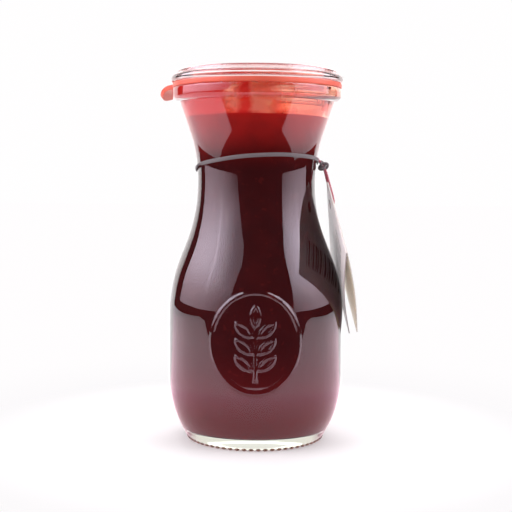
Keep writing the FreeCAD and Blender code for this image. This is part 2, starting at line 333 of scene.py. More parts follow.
def new_finish(name):
    """An empty material, and its tree's place socket on Object coordinates."""
    material = bpy.data.materials.new(name)
    material.use_nodes = True
    material.node_tree.nodes.clear()
    return material, Shade(material.node_tree).node("ShaderNodeTexCoord", {}, {}, "Object")


def show(place, shader):
    place.node("ShaderNodeOutputMaterial", {}, {"Surface": shader})


def glass_finish(name, tint, ripple, thick_tint=None, thick_top=0.0):
    """Clear glass with the faint ripple of a blown or pressed wall. Lamps shine through it.

    Below thick_top, in metres, its tinge is thick_tint, as in the bottle's foot and the lid's flange.
    On the lid both tinges are a painted pink, for the red ring's light seen through the glass.
    """
    material, place = new_finish(name)
    waves = place.noise(95, 2, (1, 1, 0.22))
    colour = (*tint, 1)
    if thick_tint is not None:
        height = place.node("ShaderNodeSeparateXYZ", {}, {0: place}, "Z")
        colour = height.step(thick_top - 0.001, thick_top + 0.001).blend((*thick_tint, 1), colour)
    glass = place.node("ShaderNodeBsdfPrincipled", {}, {
        "Base Color": colour, "Roughness": 0.0, "IOR": 1.5, "Transmission Weight": 1.0,
        "Normal": place.bump(waves, ripple),
    })
    lamp = place.node("ShaderNodeLightPath", {}, {}, "Is Shadow Ray")
    clear = place.node("ShaderNodeBsdfTransparent", {}, {"Color": (0.94, 0.95, 0.93, 1)})
    show(place, place.node("ShaderNodeMixShader", {}, {0: lamp, 1: glass, 2: clear}))
    return material


def settle(piece, finish, slot, *nodes):
    """Gives a finished piece its material, its body and the CAD nodes it stands for; its slot is not used."""
    if finish is not None:
        piece.data.materials.clear()
        piece.data.materials.append(finish)
    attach(piece, "root")
    if nodes:
        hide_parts(*nodes)


foot_tint, foot_tint_top = (0.76, 0.79, 0.67), 4.8 * mm
bottle_finish = glass_finish("bottle_clear_glass", (0.975, 0.985, 0.965), 0.00004, foot_tint, foot_tint_top)
settle(bottle_glass, bottle_finish, "clear_glass", "bottle")

# ---------------------------------------------------------------------------------------------
# Knurls. The bottle stands on a ring of little pressed ribs, so that it doesn't slide or scratch.
# Each rib is a short half-sunk bar of the foot's own glass, set round the bearing edge.

knurl_count, knurl_width, knurl_length, knurl_thick = 62, 2.1, 1.9, 1.2
knurl_outset, knurl_height = 1.25, 0.62


def repeat_tree(name, floats, material_name="Finish"):
    """An empty tree for what repeats, with its named inputs, and its group input's outputs."""
    tree = bpy.data.node_groups.new(name, "GeometryNodeTree")
    tree.interface.new_socket(name="Geometry", in_out="INPUT", socket_type="NodeSocketGeometry")
    for label, kind in floats.items():
        tree.interface.new_socket(name=label, in_out="INPUT", socket_type=kind)
    tree.interface.new_socket(name=material_name, in_out="INPUT", socket_type="NodeSocketMaterial")
    tree.interface.new_socket(name="Geometry", in_out="OUTPUT", socket_type="NodeSocketGeometry")
    given = tree.nodes.new("NodeGroupInput")
    return tree, {socket.name: Shade(tree, socket) for socket in given.outputs if socket.name}


def finish_tree(tree, instances, finish):
    """Makes the instances real, gives them their material and ends the tree."""
    start = Shade(tree)
    real = start.node("GeometryNodeRealizeInstances", {}, {"Geometry": instances})
    done = start.node("GeometryNodeSetMaterial", {}, {"Geometry": real, "Material": finish})
    start.node("NodeGroupOutput", {}, {"Geometry": done})


def grow(name, base, tree, values):
    """Runs a tree on a base mesh with values for its named inputs, and gives the plain result."""
    carrier = new_object(name + "_carrier", base)
    modifier = carrier.modifiers.new(name, "NODES")
    modifier.node_group = tree
    for item in tree.interface.items_tree:
        if item.item_type == "SOCKET" and item.in_out == "INPUT" and item.name in values:
            modifier[item.identifier] = values[item.name]
    made = carrier.evaluated_get(bpy.context.evaluated_depsgraph_get())
    mesh = bpy.data.meshes.new_from_object(made)
    carrier.modifiers.remove(modifier)
    bpy.data.objects.remove(carrier)
    mesh.shade_smooth()
    return new_object(name, mesh)


tree, given = repeat_tree("foot_knurls", {
    "Count": "NodeSocketInt", "Radius": "NodeSocketFloat",
    "Height": "NodeSocketFloat", "Size": "NodeSocketVector",
})
start = Shade(tree)
ring = start.node("GeometryNodeMeshCircle", {}, {"Vertices": given["Count"], "Radius": given["Radius"]})
raised_ring = start.node("GeometryNodeTransform", {}, {
    "Geometry": ring,
    "Translation": start.node("ShaderNodeCombineXYZ", {}, {"Z": given["Height"]}),
})
bar = start.node("GeometryNodeMeshUVSphere", {}, {"Segments": 10, "Rings": 6, "Radius": 0.5})
bar = start.node("GeometryNodeTransform", {}, {"Geometry": bar, "Scale": given["Size"]})
out = start.node("GeometryNodeInputPosition")
turn = start.node("FunctionNodeAlignRotationToVector", {"axis": "X"}, {
    "Vector": start.node("ShaderNodeVectorMath", {"operation": "MULTIPLY"}, {0: out, 1: (1, 1, 0)}),
})
bars = start.node("GeometryNodeInstanceOnPoints", {}, {
    "Points": raised_ring, "Instance": bar, "Rotation": turn,
})
finish_tree(tree, bars, given["Finish"])
# Painted shade: the ribs' glass is tinted dark brown for the dark dashes they show, though they are of the
# foot's clear glass.
knurl_finish = glass_finish("knurled_foot_glass", (0.26, 0.11, 0.07), 0.00002)
foot_knurls = grow("foot_knurls", bpy.data.meshes.new("foot_ring"), tree, {
    "Count": knurl_count, "Radius": (foot + knurl_outset) * mm, "Height": knurl_height * mm,
    "Size": (knurl_length * mm, knurl_width * mm, knurl_thick * mm), "Finish": knurl_finish,
})
settle(foot_knurls, knurl_finish, "clear_glass")

# ---------------------------------------------------------------------------------------------
# Sauce. A thick, very dark red puree of strawberries that fills the bottle up into its neck and
# wets the glass, so its skin lies a hair inside the wall. It lets light in where it is thin.

fill_height, wetting, skin_drop = 124.6, 0.1, 0.7
floor_gap, floor_reach, floor_zone = 0.06, 24.0, 8.0
sauce_columns = 144
inner = cavity_side(wall - wetting, 1.3)
level = [(r, z) for r, z in inner.points if z < fill_height - 0.5]
neck = [(r, z) for r, z in inner.points if z > waist_top]
edge_radius = np.interp(fill_height, [z for r, z in neck], [r for r, z in neck])
skin = Outline(*level[-1], 1.3)
skin.line(edge_radius, fill_height)
skin.line(edge_radius - 0.9, fill_height - skin_drop / 2)
skin.line(edge_radius - 2.4, fill_height - 0.6)
skin.line(0, fill_height - skin_drop)
lifted = [(r, z + (floor_gap if r < floor_reach and z < floor_zone else 0)) for r, z in level]
sauce_fill = spin("sauce_fill", lifted + skin.points[1:], even_angles(sauce_columns))

sauce_finish, place = new_finish("dark_fruit_sauce")
height = place.node("ShaderNodeSeparateXYZ", {}, {0: place}, "Z")
near_top = height.step(0.1025, 0.1268)
cloud = place.noise(130, 2)
pulp = place.noise(420, 3).step(0.60, 0.72)
# Painted light: the sauce is painted redder low in the belly, for the white table's light thrown up into it.
colour = height.step(0.012, 0.042).blend((0.125, 0.0062, 0.0080, 1), (0.043, 0.0031, 0.0042, 1))
# Painted light: up the neck the sauce is painted far brighter red, for the light that comes through the thin
# sauce there.
colour = near_top.blend(colour, (0.40, 0.013, 0.011, 1))
colour = (cloud.step(0.35, 0.8) * 0.30).blend(colour, (0.085, 0.006, 0.007, 1))
colour = (pulp * 0.20).blend(colour, (0.20, 0.014, 0.012, 1))
sauce = place.node("ShaderNodeBsdfPrincipled", {}, {
    "Base Color": colour, "Roughness": 0.35, "IOR": 1.12,
    "Subsurface Weight": 0.25, "Subsurface Radius": (1.0, 0.12, 0.1), "Subsurface Scale": 0.004,
    "Normal": place.bump(cloud, 0.00006),
})
show(place, sauce)
settle(sauce_fill, sauce_finish, "fruit_sauce", "sauce")

# ---------------------------------------------------------------------------------------------
# Seeds and pulp. Small pale seeds and shreds of fruit lie against the glass, scattered through
# the sauce by a fixed chance, with their flat sides to the wall.

seed_size = (1.5 * mm, 0.95 * mm, 0.5 * mm)
bed_gap, bed_low, bed_top_gap, bed_columns = 0.10, 14.0, 2.0, 48
tree, given = repeat_tree("scattered_seeds", {
    "Density": "NodeSocketFloat", "Chance": "NodeSocketInt",
    "Size": "NodeSocketVector", "Smallest": "NodeSocketFloat",
})
start = Shade(tree)
spread = tree.nodes.new("GeometryNodeDistributePointsOnFaces")
for name, source in (("Mesh", given["Geometry"]), ("Density", given["Density"]), ("Seed", given["Chance"])):
    tree.links.new(source.socket, spread.inputs[name])
seed = start.node("GeometryNodeMeshIcoSphere", {}, {"Radius": 0.5, "Subdivisions": 2})
seed = start.node("GeometryNodeTransform", {}, {"Geometry": seed, "Scale": given["Size"]})
spun = start.node("FunctionNodeRandomValue", {"data_type": "FLOAT"}, {
    2: 0.0, 3: 6.283, "Seed": given["Chance"],
}, 1)
spun = start.node("ShaderNodeCombineXYZ", {}, {"Z": spun})
turned = start.node("FunctionNodeRotateRotation", {"rotation_space": "LOCAL"}, {
    "Rotation": Shade(tree, spread.outputs["Rotation"]), "Rotate By": spun,
})
scale = start.node("FunctionNodeRandomValue", {"data_type": "FLOAT"}, {
    2: given["Smallest"], 3: 1.0, "Seed": given["Chance"] + 7,
}, 1)
seeds = start.node("GeometryNodeInstanceOnPoints", {}, {
    "Points": Shade(tree, spread.outputs["Points"]), "Instance": seed, "Rotation": turned, "Scale": scale,
})
finish_tree(tree, seeds, given["Finish"])

seed_finish, place = new_finish("fruit_seed")
tone = place.noise(900, 2)
show(place, place.node("ShaderNodeBsdfPrincipled", {}, {
    "Base Color": tone.step(0.35, 0.65).blend((0.11, 0.012, 0.010, 1), (0.24, 0.05, 0.03, 1)),
    "Roughness": 0.4, "IOR": 1.15,
    "Normal": place.bump(place.noise(2500, 2), 0.00005),
}))
bed = [(r, z) for r, z in cavity_side(wall + bed_gap).points if bed_low < z < fill_height - bed_top_gap]
turns = even_angles(bed_columns)
points = [(r * mm * math.cos(a), r * mm * math.sin(a), z * mm) for r, z in bed for a in turns]
faces = []
for low in range(0, (len(bed) - 1) * bed_columns, bed_columns):
    for i in range(bed_columns):
        j = (i + 1) % bed_columns
        faces.append((low + i, low + j, low + bed_columns + j, low + bed_columns + i))
bed_mesh = bpy.data.meshes.new("seed_bed")
bed_mesh.from_pydata(points, [], faces)
sauce_seeds = grow("sauce_seeds", bed_mesh, tree, {
    "Density": 2300.0, "Chance": 5, "Size": seed_size, "Smallest": 0.45, "Finish": seed_finish,
})
settle(sauce_seeds, seed_finish, "fruit_sauce")

# ---------------------------------------------------------------------------------------------
# Film. Shaken sauce clings as a thin orange-red skin inside the neck, above the level and round
# the lid's plug. It is streaky: thin and pale in places, thick and red in others.

film_low, film_high, film_columns, film_rows = 123.6, 134.6, 200, 22
film_middle, film_swell, film_ripple, film_least, film_bite = 0.16, 0.12, 0.10, 0.03, 0.04
neck_z = np.array([z for r, z in cavity.points if z > waist_top])
neck_r = np.array([r for r, z in cavity.points if z > waist_top])
points, faces = [], []
for side in (0, 1):
    for k in range(film_rows + 1):
        z = film_low + (film_high - film_low) * k / film_rows
        for a in even_angles(film_columns):
            wave = noise.noise(Vector((3.2 * math.cos(a), 3.2 * math.sin(a), z * 0.35)))
            lump = noise.noise(Vector((9 * math.cos(a), 9 * math.sin(a), z)))
            thick = max(film_least, film_middle + film_swell * wave + film_ripple * lump)
            r = float(np.interp(z, neck_z, neck_r)) + (-thick if side else film_bite)
            points.append((r * mm * math.cos(a), r * mm * math.sin(a), z * mm))
row = film_columns
sheet = row * (film_rows + 1)
for i in range(row):
    j = (i + 1) % row
    for k in range(film_rows):
        low, high = k * row, (k + 1) * row
        faces.append((low + i, low + j, high + j, high + i))
        faces.append((sheet + low + i, sheet + high + i, sheet + high + j, sheet + low + j))
    for k in (0, film_rows):
        faces.append((k * row + i, k * row + j, sheet + k * row + j, sheet + k * row + i))
sauce_film = new_piece("sauce_film", points, faces)

film_finish, place = new_finish("thin_sauce_film")
streaks = place.noise(85, 3, (1, 1, 1.7)) + place.noise(480, 3) * 0.22
across, height = place.node("ShaderNodeSeparateXYZ", {}, {0: place}).split("X", "Z")
drift = across + (streaks - 0.62) * 0.016
high = (height - streaks * 0.004).step(0.1255, 0.1295)
bare = drift.step(-0.003, 0.011) * 0.85 + (1 - (drift + 0.0098).maths("ABSOLUTE").step(0.0, 0.0044)) * 0.7
run = 1 - (across + (streaks - 0.62) * 0.005 + 0.0045).maths("ABSOLUTE").step(0.0006, 0.0032)
thick_place = (1 - bare) * (1 - high * 0.35) + run * 0.4 + streaks.step(0.60, 0.85) * 0.3
cover = thick_place.step(0.0, 0.8)
body_colour = drift.step(-0.014, -0.009).blend((0.74, 0.020, 0.016, 1), (1.0, 0.30, 0.20, 1))
body_colour = drift.step(0.008, 0.016).blend(body_colour, (0.88, 0.26, 0.19, 1))
body_colour = (run * 0.9).blend(body_colour, (0.74, 0.022, 0.014, 1))
body_colour = (height - streaks * 0.0080).step(0.1186, 0.1216).blend((0.60, 0.018, 0.014, 1), body_colour)
thin = place.node("ShaderNodeBsdfTransparent", {}, {"Color": (1.0, 0.70, 0.60, 1)})
thick = place.node("ShaderNodeBsdfTransparent", {}, {"Color": (0.88, 0.12, 0.07, 1)})
tinted = place.node("ShaderNodeMixShader", {}, {0: cover, 1: thin, 2: thick})
body = place.node("ShaderNodeBsdfPrincipled", {}, {
    "Base Color": body_colour, "Roughness": 0.3, "IOR": 1.3, "Normal": place.bump(streaks, 0.0001),
    "Subsurface Weight": 0.9, "Subsurface Radius": (1.0, 0.26, 0.18), "Subsurface Scale": 0.0016,
})
show(place, place.node("ShaderNodeMixShader", {}, {0: 0.06 + cover * 0.62, 1: tinted, 2: body}))
settle(sauce_film, film_finish, "fruit_sauce")

# ---------------------------------------------------------------------------------------------
# Rubber ring. A flat moulded ring of orange-red preserving rubber between the bead and the lid,
# with a half-round tongue that droops behind the left side and is pulled to open the bottle.

ring_thickness, ring_bore_clearance, ring_setback, ring_round, ring_columns = 1.8, 0.3, 0.1, 0.4, 160
tab_azimuth, tab_reach, tab_bend_radius, tab_droop = 112.0, 8.16, 7.0, 40.0
tab_root, tab_thinning, tab_lip = 1.2, 0.3, 0.15
bore, edge = mouth_radius + ring_bore_clearance, bead_radius - ring_setback
ring_top = rim_top + ring_thickness
outline = Outline(bore, rim_top, 0.6)
outline.corner(edge, rim_top, ring_round, -90, 1)
outline.corner(edge, ring_top, ring_round, 0, 1)
outline.line(bore, ring_top)
outline.line(bore, rim_top)
rubber = spin("rubber_band", outline.points[:-1], even_angles(ring_columns), closed=True)
droop = math.radians(tab_droop)
points, faces, across, along = [], [], 26, 20
for side in (0, 1):
    for i in range(across + 1):
        y = tab_reach * math.sin(math.pi / 2 * (2 * i / across - 1))
        reach = math.sqrt(max(tab_reach**2 - y**2, 0.0))
        root = math.sqrt((edge - tab_root) ** 2 - y**2) - edge
        for j in range(along + 1):
            s = root + (reach - root) * math.sin(math.pi / 2 * j / along)
            lip = (j / along) ** 8
            lift = ring_thickness - tab_thinning * lip if side else tab_lip * lip
            flat = max(0.0, s)
            bend = min(flat / tab_bend_radius, droop)
            rest = flat - bend * tab_bend_radius
            x = edge + min(s, 0) + (tab_bend_radius + lift) * math.sin(bend) + rest * math.cos(droop)
            z = rim_top - tab_bend_radius + (tab_bend_radius + lift) * math.cos(bend) - rest * math.sin(droop)
            points.append((x * mm, y * mm, z * mm))
width = along + 1
sheet = width * (across + 1)
for i in range(across):
    for j in range(along):
        corner = i * width + j
        faces.append((corner, corner + 1, corner + width + 1, corner + width))
        faces.append((sheet + corner, sheet + corner + width, sheet + corner + width + 1, sheet + corner + 1))
    for j in (0, along):
        corner = i * width + j
        faces.append((corner, corner + width, sheet + corner + width, sheet + corner))
for i in (0, across):
    for j in range(along):
        corner = i * width + j
        faces.append((corner, corner + 1, sheet + corner + 1, sheet + corner))
tongue = new_piece("tongue", points, faces)
tongue.data.transform(Matrix.Rotation(math.radians(-90 - tab_azimuth), 4, "Z"))


def join(name, *meshes):
    """One object of several meshes, which keep their smooth and sharp edges and their UV maps."""
    work = bmesh.new()
    for mesh in meshes:
        work.from_mesh(mesh)
    joined = bpy.data.meshes.new(name)
    work.to_mesh(joined)
    work.free()
    return new_object(name, joined)


ring_rubber = join("ring_rubber", rubber.data, tongue.data)
for part in (rubber, tongue):
    bpy.data.objects.remove(part)

rubber_finish, place = new_finish("orange_red_rubber")
cloud, grain = place.noise(60, 3), place.noise(1500, 2)
show(place, place.node("ShaderNodeBsdfPrincipled", {}, {
    "Base Color": cloud.step(0.3, 0.7).blend((0.63, 0.080, 0.042, 1), (0.72, 0.112, 0.062, 1)),
    "Roughness": 0.38 + grain * 0.15, "Specular IOR Level": 0.4,
    "Subsurface Weight": 0.15, "Subsurface Radius": (1.0, 0.25, 0.15), "Subsurface Scale": 0.0015,
    "Normal": place.bump(grain + cloud, 0.00004),
}))
settle(ring_rubber, rubber_finish, "red_rubber", "rubber_ring")

# ---------------------------------------------------------------------------------------------
# Lid. A heavy pressed glass lid: a plug down into the mouth, a flange over the ring and a low rim
# on top in which the next bottle's foot stacks.

plug_clearance, plug_depth, plug_draft, plug_round, lid_columns = 0.9, 8.6, 0.3, 1.2, 192
flange_overhang, flange_thickness, flange_round = 0.65, 2.9, 1.4
stack_setback, stack_height, stack_width, stack_round, recess_depth = 2.25, 2.0, 2.6, 1.25, 2.6
plug, edge = mouth_radius - plug_clearance, bead_radius + flange_overhang
flange_top = ring_top + flange_thickness
stack, stack_top = edge - stack_setback, flange_top + stack_height
outline = Outline(0, ring_top - plug_depth, 1.2)
outline.step = 0.3
outline.corner(plug - plug_draft, ring_top - plug_depth, plug_round, -90, 1)
outline.step = 0.8
outline.line(plug, ring_top - 0.35)
outline.corner(plug + 0.35, ring_top, 0.35, 180, -1)
outline.step = 0.25
outline.corner(edge, ring_top, flange_round, -90, 1)
outline.corner(edge, flange_top, flange_round, 0, 1)
outline.line(stack + 0.4, flange_top)
outline.corner(stack + 0.0001, flange_top + 0.0001, 0.4, -90, -1)
outline.corner(stack, stack_top, stack_round, 0, 1)
outline.corner(stack - stack_width, stack_top, stack_round, 90, 1)
outline.line(stack - stack_width, stack_top - recess_depth)
outline.step = 1.2
outline.line(0, stack_top - recess_depth)
lid_glass = spin("lid_glass", outline.points, even_angles(lid_columns))
# Painted light: the lid's glass is tinted pink, paler over the flange, for the red ring's light seen through
# it.
flange_painted_pink, flange_painted_pink_top = (0.97, 0.87, 0.86), (flange_top + 0.7) * mm
lid_finish = glass_finish("lid_clear_glass", (0.90, 0.70, 0.70), 0.00003, flange_painted_pink, flange_painted_pink_top)
settle(lid_glass, lid_finish, "clear_glass", "lid")

# ---------------------------------------------------------------------------------------------
# Neck band. A flat braided elastic, grey, pulled round the neck and tied into a small hard knot
# on the right. It slants up to the front and right, and rolls over once near the left end.

band_width, band_thick, band_height, band_sides = 1.45, 0.6, 105.9, 14
band_radius, band_gap, band_steps = 0.65, 0.1, 260
band_pitch, band_roll, band_forward = math.radians(7.8), math.radians(3.6), 0.42
band_wander, roll_place, roll_length = 0.12, 24.0, 4.0
flare = flare_rise / math.sin(flare_slope)


def neck_at(height):
    """Outer radius of the waist and of the flare over it at a height."""
    return waist_radius + flare - math.sqrt(flare**2 - max(0, height - waist_top) ** 2)


def band_loop(turn, forward):
    """Radius of a loop that clears the neck on its higher and lower side, tilted by an angle."""
    rise = (waist_radius + band_radius) * math.sin(turn)
    reaches = [neck_at(band_height + side * rise) - side * forward for side in (-1, 1)]
    return (max(reaches) + band_gap + band_radius) / math.cos(turn)


loop_radius = max(band_loop(band_pitch, band_forward), band_loop(band_roll, 0))
knot_place = Vector((loop_radius, 0, band_height))
tilt = Matrix.Rotation(-band_roll, 4, "Y") @ Matrix.Rotation(-band_pitch, 4, "X")


def sweep(name, path, frames, section, closed):
    """Sweeps a section of (across, out) millimetres along a path; adds a UV map along it."""
    points, faces, places = [], [], []
    count, around = len(path), len(section)
    for spot, (across, out) in zip(path, frames):
        points.extend((spot + across * u + out * w) * mm for u, w in section)
    for i in range(count if closed else count - 1):
        for k in range(around):
            low, high, after = i * around, ((i + 1) % count) * around, (k + 1) % around
            faces.append((low + k, low + after, high + after, high + k))
            places.append([(i, k), (i, k + 1), (i + 1, k + 1), (i + 1, k)])
    if not closed:
        faces += [tuple(range(around)), tuple(range((count - 1) * around, count * around))]
        places += [[(0, k) for k in range(around)], [(count - 1, k) for k in range(around)]]
    mesh = bpy.data.meshes.new(name)
    mesh.from_pydata([tuple(p) for p in points], [], faces)
    layer = mesh.uv_layers.new(name="along")
    lengths = [0.0]
    for i in range(1, count + 1):
        lengths.append(lengths[-1] + (path[i % count] - path[i - 1]).length)
    for polygon, spots in zip(mesh.polygons, places):
        for corner, (i, k) in zip(polygon.loop_indices, spots):
            layer.data[corner].uv = (lengths[i] * mm, k / around)
    face_outwards(mesh)
    return mesh


def rounded(width, thick, sides):
    """The section of a flat braid: a flattened round."""
    def flattened(half, share):
        return half * math.copysign(abs(share) ** 0.75, share)
    turns = even_angles(sides)
    return [(flattened(width / 2, math.cos(a)), flattened(thick / 2, math.sin(a))) for a in turns]


path, frames = [], []
for a in even_angles(band_steps):
    spot = tilt @ Vector((loop_radius * math.cos(a), loop_radius * math.sin(a), 0))
    spot += Vector((0, -band_forward, band_height))
    slack = band_wander * math.sin(7 * a + 1) * math.sin(2 * a)
    away = Vector((spot.x, spot.y, 0)).normalized()
    reach = neck_at(spot.z) + band_thick / 2 + band_gap + 0.1 * abs(slack)
    forward = tilt @ Vector((-math.sin(a), math.cos(a), 0))
    over = max(0, spot.z + 0.6 * slack - waist_top)
    lean = math.atan2(over, math.sqrt(flare**2 - over**2))
    out = (away * math.cos(lean) - Vector((0, 0, 1)) * math.sin(lean)).normalized()
    across = forward.cross(out).normalized()
    from_left = math.degrees((a + math.pi) % (2 * math.pi))
    roll_over = math.pi / (1 + math.exp(-(from_left - roll_place) / roll_length))
    turned = math.sin(roll_over)
    lift = turned * (band_width - band_thick) / 2
    path.append(away * reach + Vector((0, 0, spot.z + 0.6 * slack)) + out * lift)
    frames.append((across * math.cos(roll_over) + out * turned, out * math.cos(roll_over) - across * turned))
loop_mesh = sweep("loop", path, frames, rounded(band_width, band_thick, band_sides), closed=True)

knot_steps, knot_width, knot_thick, knot_sides = 150, 1.15, 0.95, 12
knot_size, knot_shift = Matrix.Diagonal((0.60, 0.58, 0.66)), Vector((1.35, -1.35, -0.05))
knot_turn = Matrix.Rotation(math.radians(35), 3, "Y") @ Matrix.Rotation(math.radians(70), 3, "X")
knot_path = []
for t in even_angles(knot_steps):
    x, y = math.sin(t) + 2 * math.sin(2 * t), math.cos(t) - 2 * math.cos(2 * t)
    trefoil = Vector((x, y, -1.3 * math.sin(3 * t)))
    knot_path.append(knot_turn @ knot_size @ trefoil + knot_place + knot_shift)


def round_frames(path, closed):
    """Frames that don't twist, carried along a path."""
    frames, across = [], None
    for i, spot in enumerate(path):
        after = path[(i + 1) % len(path)] if closed or i + 1 < len(path) else spot
        before = path[i - 1] if closed or i else spot
        forward = (after - before).normalized()
        if across is None:
            across = forward.cross(Vector((0.3, 0.2, 1))).normalized()
        across = (across - forward * across.dot(forward)).normalized()
        frames.append((across, forward.cross(across)))
    return frames


knot_section = rounded(knot_width, knot_thick, knot_sides)
knot_mesh = sweep("knot", knot_path, round_frames(knot_path, True), knot_section, closed=True)
neck_elastic = join("neck_elastic", loop_mesh, knot_mesh)

elastic_finish, place = new_finish("grey_braided_elastic")
along = place.node("ShaderNodeUVMap", {"uv_map": "along"})
length, round_it = along.node("ShaderNodeSeparateXYZ", {}, {0: along}).split("X", "Y")
braid_turns, braid_waves = 25.13, 9200
braid = (length * braid_waves + round_it * braid_turns).maths("SINE")
cross = (length * braid_waves - round_it * braid_turns).maths("SINE")
weave = braid.maths("MAXIMUM", cross) * 0.5 + 0.5
fuzz = place.noise(2600, 3)
# Painted shade: the braid is darker in the gaps between its strands; the fuzz adds a random tone over it.
light = (weave * 0.6 + fuzz * 0.5).step(0.2, 1.0)
show(place, place.node("ShaderNodeBsdfPrincipled", {}, {
    "Base Color": light.blend((0.070, 0.053, 0.058, 1), (0.185, 0.148, 0.160, 1)),
    "Roughness": 0.8, "Sheen Weight": 0.25, "Sheen Roughness": 0.5, "Specular IOR Level": 0.25,
    "Normal": place.bump(weave + fuzz * 0.5, 0.00012),
}))
settle(neck_elastic, elastic_finish, "grey_elastic", "neck_band")

# ---------------------------------------------------------------------------------------------
# String. Two plies of dark red thread twisted together, tied into the band's knot, down through
# the tag's hole and back up behind it, with the tip of its loop just over the band.

knot_heart = (1.5, -1.5, -0.4)
string_route = [
    knot_heart, (2.45, -2.35, -2.15), (3.15, -3.45, -5.05), (4.05, -4.95, -8.45), (4.85, -6.35, -11.60),
    (5.30, -7.20, -14.0), (4.95, -7.5, -14.8), (4.3, -7.45, -14.9), (4.1, -7.15, -14.55),
    (4.35, -6.9, -14.15), (4.45, -6.85, -13.9), (4.40, -6.05, -11.6), (3.50, -4.50, -8.30),
    (2.60, -3.10, -4.95), (2.0, -2.1, -2.1), knot_heart,
]
tip_route = [
    (1.2, -1.6, -0.4), (0.1, -2.1, 1.2), (-0.9, -2.6, 2.7), (-1.5, -2.2, 3.3), (-1.2, -1.6, 2.9),
    (0.0, -1.0, 1.4), (1.3, -0.6, 0.2),
]
ply_radius, ply_offset, ply_sides, lay_length = 0.26, 0.22, 9, 2.2


def smooth_path(name, route, spacing):
    """Evenly spaced points along a smooth spline that has the route as its control points."""
    curve = bpy.data.curves.new(name, "CURVE")
    curve.dimensions = "3D"
    spline = curve.splines.new("NURBS")
    spline.points.add(len(route) - 1)
    for point, spot in zip(spline.points, route):
        point.co = (*spot, 1)
    spline.order_u, spline.use_endpoint_u = 3, True
    curve.resolution_u = 24
    carrier = new_object(name, curve)
    mesh = bpy.data.meshes.new_from_object(carrier.evaluated_get(bpy.context.evaluated_depsgraph_get()))
    line = np.array([v.co for v in mesh.vertices])
    bpy.data.objects.remove(carrier)
    run = np.concatenate([[0], np.cumsum(np.linalg.norm(np.diff(line, axis=0), axis=1))])
    marks = np.linspace(0, run[-1], max(2, int(run[-1] / spacing)))
    return [Vector([np.interp(m, run, line[:, axis]) for axis in range(3)]) for m in marks], run[-1]


def plies(route, spacing=0.2):
    """The meshes of the two plies twisted together along a route."""
    path, length = smooth_path("string_run", route, spacing)
    frames = round_frames(path, False)
    section = rounded(2 * ply_radius, 2 * ply_radius, ply_sides)
    meshes = []
    for ply in (0, 1):
        twisted = []
        for i, (spot, (across, out)) in enumerate(zip(path, frames)):
            a = 2 * math.pi * length * i / (len(path) - 1) / lay_length + math.pi * ply
            twisted.append(spot + (across * math.cos(a) + out * math.sin(a)) * ply_offset)
        meshes.append(sweep("ply", twisted, round_frames(twisted, False), section, False))
    return meshes


runs = [[Vector(spot) + knot_place for spot in route] for route in (string_route, tip_route)]
string_loop = join("tag_cord_loop", *plies(runs[0]), *plies(runs[1]))

string_finish, place = new_finish("dark_red_thread")
along = place.node("ShaderNodeUVMap", {"uv_map": "along"})
fibres = along.noise(1.0, 3, (900, 14, 1))
show(place, place.node("ShaderNodeBsdfPrincipled", {}, {
    "Base Color": fibres.step(0.3, 0.7).blend((0.30, 0.03, 0.055, 1), (0.62, 0.14, 0.20, 1)),
    "Roughness": 0.7, "Sheen Weight": 0.3, "Sheen Roughness": 0.4, "Sheen Tint": (1.0, 0.75, 0.8, 1),
    "Normal": place.bump(fibres, 0.0001),
}))
settle(string_loop, string_finish, "red_string", "tag_string")

# ---------------------------------------------------------------------------------------------
# Tag. A cream card folded once into two leaves, punched through both near the fold's upper end
# and hung on the string. The leaves spring apart and bow; bars are printed on the bottle's side.

card, fold_length, leaf_reach = 0.4, 37.3, 46.2
hole_radius, hole_inset, hole_sides, hole_margin = 1.9, 5.8, 28, 0.5
tag_turn, tag_yaw, tag_splay = math.radians(43), math.radians(2.3), math.radians(3.3)
tag_seat, tag_clearance = 0.5, 0.57
shoulder_arc = shoulder_rise / math.sin(shoulder_slope)
hang = knot_place + Vector((4.225, -7.4, -14.675))
out_x, out_z = hang.x - tag_seat - (belly_radius - shoulder_arc), hang.z - belly_top
tag_lean = math.atan2(out_z, out_x) - math.acos((shoulder_arc + tag_clearance) / math.hypot(out_x, out_z))
hung = (Matrix.Translation(hang) @ Matrix.Rotation(tag_yaw, 4, "Z") @ Matrix.Rotation(-tag_lean, 4, "Y")
        @ Matrix.Rotation(tag_turn, 4, "X") @ Matrix.Translation((-tag_seat, hole_inset, hole_inset)))
inner_bow, outer_bow, fold_bend = 1.35, 0.9, 0.2


def tag_spot(down, run):
    """The card's middle at a distance down a leaf, minus for the leaf next to the bottle."""
    half_turn = math.pi * fold_bend / 2
    if abs(down) < half_turn:
        turn = down / fold_bend
        x, z = card + fold_bend * math.sin(turn), fold_bend * (math.cos(turn) - 1)
        return Vector((x, -run, z + fold_bend))
    reach = abs(down) - half_turn
    share, along = reach / leaf_reach, max(0.0, run / fold_length)
    swell = math.sin(math.pi * min(1, share)) * along**1.5
    if down < 0:
        return Vector((card - fold_bend - inner_bow * swell, -run, -reach))
    x = fold_bend + reach * math.sin(tag_splay) + outer_bow * swell
    return Vector((card + x, -run, -reach * math.cos(tag_splay)))


half = leaf_reach + math.pi * fold_bend / 2
rows, columns, fold_marks = 60, 24, (-0.31, -0.2, -0.1, 0.1, 0.2, 0.31)
marks = sorted([-half + 2 * half * i / rows for i in range(rows + 1)] + list(fold_marks))
holes = [Vector((side * (hole_inset + math.pi * fold_bend / 2), hole_inset)) for side in (-1, 1)]


def from_hole(*spots):
    """How far the middle of some places on the flat card is from the nearer hole's centre."""
    middle = sum(spots, Vector((0, 0))) / len(spots)
    return min((middle - hole).length for hole in holes)


